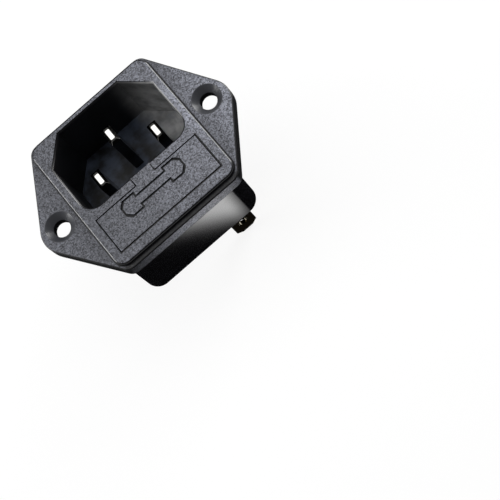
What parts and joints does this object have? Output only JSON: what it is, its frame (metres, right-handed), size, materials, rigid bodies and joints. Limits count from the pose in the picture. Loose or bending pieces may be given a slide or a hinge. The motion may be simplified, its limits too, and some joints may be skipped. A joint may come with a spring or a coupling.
{
  "type": "c14 panel inlet socket",
  "caption": "Flanged mains power inlet for a panel, with blade pins in a shaped socket, a pull-out fuse drawer below it and push-on tabs behind.",
  "frame": {"origin": "midway between the two fixing screw holes, on the rear face of the flange", "axes": "+Z out of the socket's front, +Y from the fuse drawer towards the earth pin, +X along the screw line to the neutral pin's side"},
  "size_m": [0.0446, 0.032, 0.0278],
  "materials": {
    "housing_plastic": "black thermoplastic, fine spark-eroded grain outside and glossy in the socket",
    "drawer_plastic": "black thermoplastic, fine spark-eroded grain",
    "pin_metal": "nickel plated",
    "tab_metal": "bare brass, rolled",
    "clip_metal": "nickel plated",
    "rivet_metal": "bare brass, peened",
    "fuse_glass": "clear",
    "cap_metal": "nickel plated",
    "wire_metal": "tinned"
  },
  "bodies": {
    "inlet": {"housing": "housing_plastic", "pin_neutral": "pin_metal", "pin_line": "pin_metal", "pin_earth": "pin_metal", "tab_neutral": "tab_metal", "tab_earth": "tab_metal", "tab_fused_line": "tab_metal", "line_link": "tab_metal", "fuse_clip_supply": "clip_metal", "fuse_clip_load": "clip_metal", "clip_rivet_supply": "rivet_metal", "clip_rivet_load": "rivet_metal"},
    "drawer": {"fuse_drawer": "drawer_plastic", "fuse_glass": "fuse_glass", "fuse_cap_supply": "cap_metal", "fuse_cap_load": "cap_metal", "fuse_wire": "wire_metal"}
  },
  "joints": [
    {"name": "drawer_slide", "type": "slide", "parent": "inlet", "child": "drawer", "axis": [0, 0, 1], "range_m": [0, 0.012]}
  ]
}
